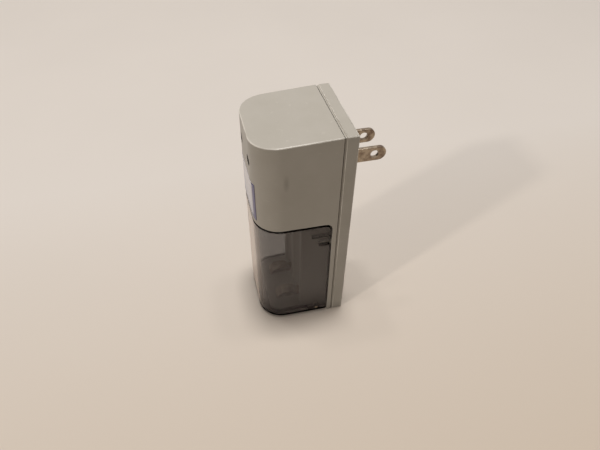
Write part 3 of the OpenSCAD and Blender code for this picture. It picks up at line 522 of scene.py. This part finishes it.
# Rear cover: the ABS plate that closes the housing and lies against the wall. A shallow groove runs all
# round where it meets the front shell, with the open seam between the two mouldings at its foot, and four
# counterbores take the screws.
rear_y, rear_corner_r, least_r, rear_edge_r, edge_margin, lip_r = 38.5, 0.5, 0.1, 0.5, 0.2, 0.25
groove_w, groove_d, groove_edge, seam_w, seam_d = 1.0, 0.4, 0.05, 0.42, 2.4
screw_places = np.array([(14.9, 0, 90.0), (-14.9, 0, 90.0), (11.95, 0, 9.0), (-11.95, 0, 9.0)])
head_seat_y, bore_r, bore_edge, bore_bend, bore_flare = 36.3, 2.8, 0.2, 0.06, 0.3
slot_gap, slot_d, slot_edge, slot_past, slot_flare = 0.05, 1.5, 0.2, 0.3, (1.625, 1.15625)
plate_turn = np.radians(np.linspace(0, 90, 9))


def plate_ring(inset, y):
    """Rectangle with round corners in (x, z), drawn in by inset, at depth y."""
    r = max(rear_corner_r - inset, least_r)
    cosine, sine = r * np.cos(plate_turn), r * np.sin(plate_turn)
    right, top, low = body_half - inset - r, body_top - inset - r, inset + r
    x = np.concatenate([right + cosine, -right - sine, -right - cosine, right + sine])
    z = np.concatenate([top + sine, top + cosine, low - sine, low - cosine])
    return np.column_stack([x, np.full(len(x), y), z])[::-1]


lip_y, seam_y = parting_y + groove_w, parting_y + seam_w
plate_rings = [plate_ring(seam_d, parting_y), plate_ring(seam_d, seam_y), plate_ring(groove_d, seam_y),
               plate_ring(groove_d, lip_y - groove_edge), plate_ring(groove_d - groove_edge, lip_y)]
plate_rings += [plate_ring(lip_r * (1 - np.sin(a)), lip_y + lip_r * (1 - np.cos(a))) for a in quarter]
plate_rings += [plate_ring(0, y)
                for y in np.linspace(lip_y + 2 * lip_r, rear_y - rear_edge_r - edge_margin, 6)]
plate_rings += [plate_ring(rear_edge_r * (1 - np.cos(a)), rear_y - rear_edge_r * (1 - np.sin(a)))
                for a in quarter]
rear_plate = new_piece(skin("rear_plate", plate_rings), "housing")
bore_profile = [(pole_r, head_seat_y), (bore_r, head_seat_y), (bore_r, rear_y - bore_edge),
                (bore_r + bore_bend, rear_y - bore_bend), (bore_r + bore_edge, rear_y),
                (bore_r + bore_flare, rear_y + past), (pole_r, rear_y + past)]
carve(rear_plate, skin("bores", lathe(bore_profile, screw_places, axis=1)))
slot_corner = np.array([(1, 1), (1, -1), (-1, -1), (-1, 1)]) * (half_t + slot_gap, half_w + slot_gap)
slot_steps = ((rear_y - slot_d, (1, 1)), (rear_y - slot_edge, (1, 1)), (rear_y + slot_past, slot_flare))
slot_rings = np.array([np.insert(slot_corner * size, 1, y, axis=1) for y, size in slot_steps])
carve(rear_plate, skin("slots", [slot_rings + (side * blade_x, 0, blade_z) for side in (-1, 1)]))
# The lip and the rear edge are painted paler: partly rubbed, partly a painted highlight.
mark_wear_and_highlight(rear_plate, lambda y, z: across_edge(y - lip_y, lip_r) + across_edge(rear_y - y, rear_edge_r))
rear_plate.data.materials.append(abs_plastic)
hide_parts("rear_cover")

# Housing screws: zinc-plated self-tapping screws with a low domed head and a cross recess, driven from
# behind into the shell's bosses. A point of the head is in the recess where it is near the middle and near
# one of the cross's two lines.
head_r, head_h, crown_drop, head_points = 2.4, 1.6, 0.55, 96
recess_d, recess_r, recess_soft, arm_half, arm_soft = 0.75, 1.45, 0.25, 0.42, 0.16
screw_r, screw_tip_y, tip_r, taper_l, head_under = 1.3, 24.6, 0.3, 1.2, 0.01
head_turn = np.linspace(0, 2 * np.pi, head_points, endpoint=False)
face_r = head_r * np.concatenate([[0.004], np.linspace(0.1, 1, 22)])[:, None]
face_x, face_z = face_r * np.cos(head_turn), face_r * np.sin(head_turn)
arm = np.minimum(np.abs(face_x), np.abs(face_z))
recess = np.clip((arm_half - arm) / arm_soft, 0, 1) * np.clip((recess_r - face_r) / recess_soft, 0, 1)
crown_y = head_seat_y + head_h - crown_drop * (face_r / head_r) ** 2 - recess_d * recess
shank = np.array([(head_r, head_seat_y), (screw_r, head_seat_y - head_under),
                  (screw_r, screw_tip_y + taper_l), (tip_r, screw_tip_y)])
shank_r, shank_y = shank[:, :1], np.repeat(shank[:, 1:], head_points, 1)
shank_rings = np.stack([shank_r * np.cos(head_turn), shank_y, shank_r * np.sin(head_turn)], -1)
screw_rings = np.concatenate([np.stack([face_x, crown_y, face_z], -1), shank_rings])
screw_rings = screw_rings + screw_places[:, None, None]
screws = new_piece(skin("screws", screw_rings), "housing", sharp=40)
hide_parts("housing_screws")

# Bright zinc over steel: a cool metal with a cloudy passivated layer, in patches of 1.5 mm.
zinc_steel, tree, shader, place = new_material("zinc_plated_steel", Metallic=1.0)
bloom = add_node(tree, "ShaderNodeTexNoise", {"Vector": place, "Scale": 1 / (1.5 * mm), "Detail": 4.0})
dull = add_node(tree, "ShaderNodeMapRange", {"Value": bloom.outputs["Fac"], "From Min": 0.3,
                                             "From Max": 0.7, "To Min": 0.28, "To Max": 0.45})
two_tone(tree, shader, bloom.outputs["Fac"], "b9bcbf", "8f9193")
drive(tree, shader, Roughness=dull.outputs["Result"])
screws.data.materials.append(zinc_steel)
dress(zinc_steel, "board_screws", "clamp_screw")

# Label: a printed polyester film, cut to a rectangle and stuck on the front, where it follows the face
# into the corner rounds. It is plain but for a border along both sides and the foot.
label_half, label_low, label_high, label_t = 12.6, 60.2, 78.2, 0.15
border_w, border_soft, label_margin = 2.4, 0.8, 0.5
label_rows, label_cols = 25, 81


def grid_faces(rows, cols):
    """Corner numbers [row, column, corner] of the four-sided faces between the points of a grid."""
    index = np.arange(rows * cols).reshape(rows, cols)
    return np.stack([index[:-1, :-1], index[:-1, 1:], index[1:, 1:], index[1:, :-1]], -1)


front_line = body_plan(0, np.array([side_end_y]))
front_line = front_line[np.abs(front_line[:, 0]) <= label_half + label_margin]
label_x = np.linspace(-label_half, label_half, label_cols)
label_y = np.interp(label_x, front_line[:, 0], front_line[:, 1])
label_z = np.linspace(label_low, label_high, label_rows)
label_grid = np.stack([np.tile(label_x, (label_rows, 1)), np.tile(label_y, (label_rows, 1)),
                       np.repeat(label_z[:, None], label_cols, 1)], -1)
label_mesh = bpy.data.meshes.new("label_film")
label_mesh.from_pydata(placed(label_grid.reshape(-1, 3)).tolist(), [],
                       grid_faces(label_rows, label_cols).reshape(-1, 4).tolist())
label = new_piece(label_mesh, "housing", sharp=60)
film = label.modifiers.new("film", "SOLIDIFY")
film.thickness, film.offset = label_t * mm, 1
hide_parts("front_label")

# Printed film: lavender-white stock under a clear satin laminate, bluer towards its foot, with a
# violet-blue border that the press has slightly mottled in spots of 3 mm.
printed_film, tree, shader, place = new_material("printed_polyester", Roughness=0.22, IOR=1.57)
axes = add_node(tree, "ShaderNodeSeparateXYZ", {"Vector": place})
from_middle = add_node(tree, "ShaderNodeMath", {0: axes.outputs["X"]}, operation="ABSOLUTE")
field_half, field_low = label_half - border_w, label_low + border_w
at_sides = add_node(tree, "ShaderNodeMapRange", {"Value": from_middle.outputs[0],
                                                 "From Min": field_half * mm,
                                                 "From Max": (field_half + border_soft) * mm})
at_foot = add_node(tree, "ShaderNodeMapRange", {"Value": axes.outputs["Z"], "From Min": field_low * mm,
                                                "From Max": (field_low - border_soft) * mm})
border = add_node(tree, "ShaderNodeMath", {0: at_sides.outputs["Result"], 1: at_foot.outputs["Result"]},
                  operation="MAXIMUM")
mottle = add_node(tree, "ShaderNodeTexNoise", {"Vector": place, "Scale": 1 / (3 * mm), "Detail": 3.0})
fade = add_node(tree, "ShaderNodeMapRange", {"Value": axes.outputs["Z"], "From Min": label_low * mm,
                                             "From Max": label_high * mm})
stock = add_node(tree, "ShaderNodeMix", {"Factor": fade.outputs["Result"], "A": linear("d0d2e2"),
                                         "B": linear("f2edf1")}, data_type="RGBA")
ink = add_node(tree, "ShaderNodeMix", {"Factor": mottle.outputs["Fac"], "A": linear("6a6790"),
                                       "B": linear("787499")}, data_type="RGBA")
printed = add_node(tree, "ShaderNodeMix", {"Factor": border.outputs[0], "A": stock.outputs["Result"],
                                           "B": ink.outputs["Result"]}, data_type="RGBA")
drive(tree, shader, Base_Color=printed.outputs["Result"])
label.data.materials.append(printed_film)

# Smoked cover: a thin-walled tub of tinted polycarbonate, moulded in one piece with its floor, that swings
# on two pins. A slit and a notch below it free a springy finger at each upper rear corner, and the lower
# rear corners are round about the pins.
cover_top, cover_reach, cover_wall, cover_corner_r, floor_edge_r = 56.8, 30.4, 1.8, 2.5, 1.85
floor_end, swing_r, foot_shade_line, above_pin_z, above_slit_z = 22.0, 4.6, 2.4, 3.6, 52.2
slit_y, slit_low, slit_high = 22.4, 51.0, 51.6
notch_y, notch_low, notch_high = 25.6, 45.9, 48.6
gap_below, gap_above, rear_strip = 1.5, 1.0, 0.8
pin_hole_r, pin_hole_x, pin_hole_half, pin_points = 1.05, 18.0, 4.0, 48
lines_y = np.concatenate([np.linspace(cover_reach, notch_y, 7), np.linspace(notch_y, slit_y, 5)[1:],
                          [floor_end], np.linspace(floor_end - 1, side_end_y, 12)])
corner_z = cover_top - cover_corner_r
corner_rise = np.radians(np.linspace(10, 90, 9))
wall_z = np.concatenate([np.linspace(floor_edge_r, hinge_z, 4), np.linspace(above_pin_z, notch_low, 40),
                         np.linspace(notch_low, notch_high, 4)[1:],
                         np.linspace(notch_high, slit_low, 4)[1:],
                         [slit_high], np.linspace(above_slit_z, corner_z, 4),
                         corner_z + cover_corner_r * np.sin(corner_rise)])
under = np.radians(np.linspace(90, 0, 10))[:-1]
row_z = np.concatenate([floor_edge_r * (1 - np.sin(under)), wall_z])
row_inset = np.concatenate([floor_edge_r * (1 - np.cos(under)), np.zeros(len(wall_z))])


def cover_row(z, inset):
    """One open row of the cover's outer face: the body plan at height z, with its side lines squeezed to
    end on the round upper rear corner or, lower down, on the arc about the hinge."""
    corner_end = cover_reach - cover_corner_r + np.sqrt(cover_corner_r ** 2 - max(z - corner_z, 0.0) ** 2)
    swing_end = hinge_y + np.sqrt(swing_r ** 2 - max(hinge_z - z, 0.0) ** 2)
    squeeze = (min(corner_end, swing_end) - slit_y) / (cover_reach - slit_y)
    plan = body_plan(inset, np.where(lines_y > slit_y, slit_y + (lines_y - slit_y) * squeeze, lines_y))
    return np.column_stack([plan, np.full(len(plan), z)])


cover_rows = np.array([cover_row(z, inset) for z, inset in zip(row_z, row_inset)])
rows, cols = cover_rows.shape[:2]
column_y = np.concatenate([lines_y, np.zeros(cols - 2 * len(lines_y)), lines_y[::-1]])
mid_y, mid_z = (column_y[:-1] + column_y[1:]) / 2, ((row_z[:-1] + row_z[1:]) / 2)[:, None]
in_slit = (mid_z > slit_low) & (mid_z < slit_high) & (mid_y > slit_y)
in_notch = (mid_z > notch_low) & (mid_z < notch_high) & (mid_y > notch_y)
kept = ~(in_slit | in_notch)
first = int(np.argmin(np.abs(lines_y - floor_end)))
floor_face = np.arange(first, cols - first)[::-1]
cover_mesh = bpy.data.meshes.new("cover_tub")
cover_mesh.from_pydata(placed(cover_rows.reshape(-1, 3)).tolist(), [],
                       grid_faces(rows, cols)[kept].tolist() + [floor_face.tolist()])
cover_tub = new_piece(cover_mesh, "cover", sharp=40)

# Grey-brown polycarbonate: clear enough to show the pod behind it, glossy from a polished mould, with faint
# flow lines 10 mm apart and handling haze. Each of a wall's two faces takes its share of the tint. It is
# nearly black in the rims, where one looks along the wall, and milder in slit and notch. A band along the
# foot takes the same nearly black finish without gloss: painted shade for the dark contact line at the
# floor.
smoked_finishes = []
for name, density, polish, low, high in (("smoked_edge_and_foot_shade", 0.94, 0.0, "0d0908", "171110"),
                                         ("smoked_polycarbonate", 0.4, 1.0, "1a0a13", "28131c"),
                                         ("smoked_cut", 0.6, 0.0, "160d0e", "22161a")):
    smoked, tree, shader, place = new_material(name, IOR=1.585, Specular_IOR_Level=0.5 * polish,
                                               Coat_Weight=polish, Coat_Roughness=0.08, Coat_IOR=1.4,
                                               Sheen_Weight=polish, Sheen_Roughness=0.35,
                                               Sheen_Tint=linear("f8e0d0"))
    glance = add_node(tree, "ShaderNodeLayerWeight", {"Blend": 0.5})
    mirror = add_node(tree, "ShaderNodeMath", {0: glance.outputs["Facing"], 1: 5.0}, operation="POWER")
    opacity = add_node(tree, "ShaderNodeMapRange", {"Value": mirror.outputs[0], "To Min": density,
                                                    "To Max": 1.0})
    flow = add_node(tree, "ShaderNodeMapping", {"Vector": place, "Scale": (100, 100, 35)})
    haze = add_node(tree, "ShaderNodeTexNoise", {"Vector": flow.outputs["Vector"], "Scale": 1.0,
                                                 "Detail": 4.0})
    dull = add_node(tree, "ShaderNodeMapRange", {"Value": haze.outputs["Fac"], "From Min": 0.3,
                                                 "From Max": 0.75, "To Min": 0.05, "To Max": 0.16})
    bump = add_node(tree, "ShaderNodeBump", {"Height": haze.outputs["Fac"], "Strength": 0.15,
                                             "Distance": 0.2 * mm})
    two_tone(tree, shader, haze.outputs["Fac"], low, high)
    drive(tree, shader, Roughness=dull.outputs["Result"], Normal=bump.outputs["Normal"],
          Alpha=opacity.outputs["Result"])
    smoked_finishes.append(smoked)

# Solidify gives an inner face the next slot and a rim the one before, so the slots are edge, clear, clear,
# cut and clear. The foot's faces have slot 0, the nearly black finish as painted shade, the walls 1, and
# those round the slit and the notch 4.
for number in (0, 1, 1, 2, 1):
    cover_mesh.materials.append(smoked_finishes[number])
beside_gap = (mid_z > notch_low - gap_below) & (mid_z < slit_high + gap_above)
beside_gap = beside_gap & (mid_y > floor_end) & (mid_y < cover_reach - rear_strip)
# Faces below the foot line get the nearly black edge finish: painted shade for the contact line.
face_slot = np.where(mid_z < foot_shade_line, 0, np.where(beside_gap, 4, 1))[kept]
cover_mesh.polygons.foreach_set("material_index", np.append(face_slot, 1).astype(np.int32))
wall = cover_tub.modifiers.new("wall", "SOLIDIFY")
wall.thickness, wall.offset, wall.use_even_offset = cover_wall * mm, -1, True
wall.material_offset, wall.material_offset_rim = 1, -1
edge = cover_tub.modifiers.new("mould_radius", "BEVEL")
edge.width, edge.segments, edge.limit_method, edge.angle_limit = 0.2 * mm, 2, "ANGLE", np.radians(45)
pin_hole = [(pole_r, -pin_hole_half), (pin_hole_r, -pin_hole_half), (pin_hole_r, pin_hole_half),
            (pole_r, pin_hole_half)]
pin_hole_places = [(-pin_hole_x, hinge_y, hinge_z), (pin_hole_x, hinge_y, hinge_z)]
pin_hole_rings = lathe(pin_hole, pin_hole_places, axis=0, count=pin_points)
carve(cover_tub, skin("pin_holes", pin_hole_rings), sharp=40)
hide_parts("smoked_cover")

# Hinge pins: short nickel-plated steel pins pressed into the pod, with chamfered ends that show in the
# cover's two holes.
pin_r, pin_mid_x, pin_half_l, chamfer, end_r, end_crown = 1.0, 16.14, 3.02, 0.2, 0.3, 0.02
pin_end = np.array([(pole_r, pin_half_l), (end_r, pin_half_l), (pin_r - chamfer, pin_half_l - end_crown),
                    (pin_r, pin_half_l - chamfer)])
pin_profile = np.concatenate([pin_end * (1, -1), pin_end[::-1]])
pin_places = [(-pin_mid_x, hinge_y, hinge_z), (pin_mid_x, hinge_y, hinge_z)]
pin_rings = lathe(pin_profile, pin_places, axis=0, count=pin_points)
pins = new_piece(skin("pins", pin_rings), "housing", sharp=40)
pins.data.materials.append(nickel_plate)
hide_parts("hinge_pins")

# Stage floor: plain pale cotton, laid flat, with clouds of 120 mm, and warmer and darker towards the camera:
# a painted falloff of the light. It is darker to diffuse light than to the eye, so that it throws little
# light back, and far off it fades into the sky.
floor_half, haze_from, haze_full, falloff_from, falloff_full = 1.6, 0.45, 1.3, -0.1, 0.12
sky_colour, sky_shown, sky_light = "dfd8d0", 0.9, 0.12


def in_view(tree):
    """1 for a ray that shows the stage to the camera, also by way of gloss or a clear piece, and 0 for
    diffuse light."""
    ray = add_node(tree, "ShaderNodeLightPath").outputs
    mirrored = add_node(tree, "ShaderNodeMath", {0: ray["Is Glossy Ray"], 1: ray["Is Transmission Ray"]},
                        operation="MAXIMUM")
    return add_node(tree, "ShaderNodeMath", {0: ray["Is Camera Ray"], 1: mirrored.outputs[0]},
                    operation="MAXIMUM").outputs[0]


floor_corners = floor_half * np.array([(-1, -1, 0), (1, -1, 0), (1, 1, 0), (-1, 1, 0)])
floor_mesh = bpy.data.meshes.new("floor")
floor_mesh.from_pydata(floor_corners.tolist(), [], [(0, 1, 2, 3)])
floor = bpy.data.objects.new("floor", floor_mesh)
bpy.context.scene.collection.objects.link(floor)
cotton, tree, shader, place = new_material("pale_cotton", Roughness=0.9)
clouds = add_node(tree, "ShaderNodeTexNoise", {"Vector": place, "Scale": 1 / (120 * mm), "Detail": 3.0})
cloth = add_node(tree, "ShaderNodeMix", {"Factor": clouds.outputs["Fac"], "A": linear("dfd7cf"),
                                         "B": linear("e5ddd5")}, data_type="RGBA")
across = add_node(tree, "ShaderNodeSeparateXYZ", {"Vector": place})
# Painted falloff: the cloth turns warmer and darker towards the camera, where the light falls off.
near = add_node(tree, "ShaderNodeMapRange", {"Value": across.outputs["X"], "From Min": falloff_from,
                                             "From Max": falloff_full})
painted_falloff = add_node(tree, "ShaderNodeMix", {"Factor": near.outputs["Result"], "A": cloth.outputs["Result"],
                                        "B": linear("d2c3b2")}, data_type="RGBA")
shown = add_node(tree, "ShaderNodeMix", {"Factor": in_view(tree), "A": linear("b0a89e"),
                                         "B": painted_falloff.outputs["Result"]}, data_type="RGBA")
drive(tree, shader, Base_Color=shown.outputs["Result"])
far = add_node(tree, "ShaderNodeVectorMath", {0: place}, operation="LENGTH")
hazy = add_node(tree, "ShaderNodeMapRange", {"Value": far.outputs["Value"], "From Min": haze_from,
                                             "From Max": haze_full}, interpolation_type="SMOOTHSTEP")
distant = add_node(tree, "ShaderNodeMath", {0: hazy.outputs["Result"], 1: in_view(tree)},
                   operation="MULTIPLY")
backdrop = add_node(tree, "ShaderNodeEmission", {"Color": linear(sky_colour), "Strength": sky_shown})
blend = add_node(tree, "ShaderNodeMixShader", {0: distant.outputs[0], 1: shader.outputs[0],
                                               2: backdrop.outputs[0]})
tree.links.new(blend.outputs[0], tree.nodes["Material Output"].inputs["Surface"])
floor.data.materials.append(cotton)

# Sky and lamps: an even sky that is pale to the eye and lights the part only dimly, and four soft square
# lamps, one overhead, one low in front and two beside the first, placed as the shadows show.
world = bpy.data.worlds.new("sky")
bpy.context.scene.world = world
world.use_nodes = True
tree, sky = world.node_tree, world.node_tree.nodes["Background"]
sky.inputs["Color"].default_value = linear(sky_colour)
brightness = add_node(tree, "ShaderNodeMapRange", {"Value": in_view(tree), "To Min": sky_light,
                                                   "To Max": sky_shown})
drive(tree, sky, Strength=brightness.outputs["Result"])


def aim(thing, position, right, back):
    """Puts a lamp or a camera at a position in metres, its own x axis along right and its z axis along back,
    so that it looks the other way."""
    turned = np.column_stack([right, np.cross(back, right), back])
    thing.matrix_world = Matrix.Translation(position) @ Matrix(turned.tolist()).to_4x4()


def soft_lamp(name, position, size, power, colour):
    """A square area lamp at a position in metres, turned to face the part."""
    data = bpy.data.lights.new(name, "AREA")
    data.size, data.energy, data.color = size, power, linear(colour)[:3]
    lamp = bpy.data.objects.new(name, data)
    bpy.context.scene.collection.objects.link(lamp)
    back = np.array(position) / np.linalg.norm(position)
    right = np.cross((0, 0, 1), back)
    aim(lamp, position, right / np.linalg.norm(right), back)


soft_lamp("overhead", (-0.12, 0.04, 2.20), 0.36, 29.5, "fffdfb")
soft_lamp("front", (0.77, -1.75, 1.17), 0.12, 10.2, "fff8f0")
soft_lamp("near_left", (-0.44, -0.44, 2.21), 0.18, 3.4, "fffcf8")
soft_lamp("far_right", (-0.17, 0.47, 2.23), 0.18, 3.0, "fffcf8")

# Camera: where the photograph was taken, found by fitting the part's edges and corners to the picture.
# The lens is for a sensor 36 mm wide.
azimuth, elevation, roll = np.radians((75.46, 44.38, 0.73))
camera_place, lens_length, sensor_w = placed((152.4, -17.4, 194.9)), 29.15, 36.0
camera_back = np.array((np.sin(azimuth) * np.cos(elevation), -np.cos(azimuth) * np.cos(elevation),
                        np.sin(elevation)))
level = np.array((np.cos(azimuth), np.sin(azimuth), 0.0))
camera_right = np.cos(roll) * level + np.sin(roll) * np.cross(camera_back, level)
camera = bpy.data.objects.new("camera", bpy.data.cameras.new("camera"))
bpy.context.scene.collection.objects.link(camera)
camera.data.lens, camera.data.sensor_width, camera.data.sensor_fit = lens_length, sensor_w, "HORIZONTAL"
camera.data.clip_start = 0.01
aim(camera, camera_place, camera_right, camera_back)
bpy.context.scene.camera = camera
bpy.context.scene.view_settings.view_transform = "Standard"
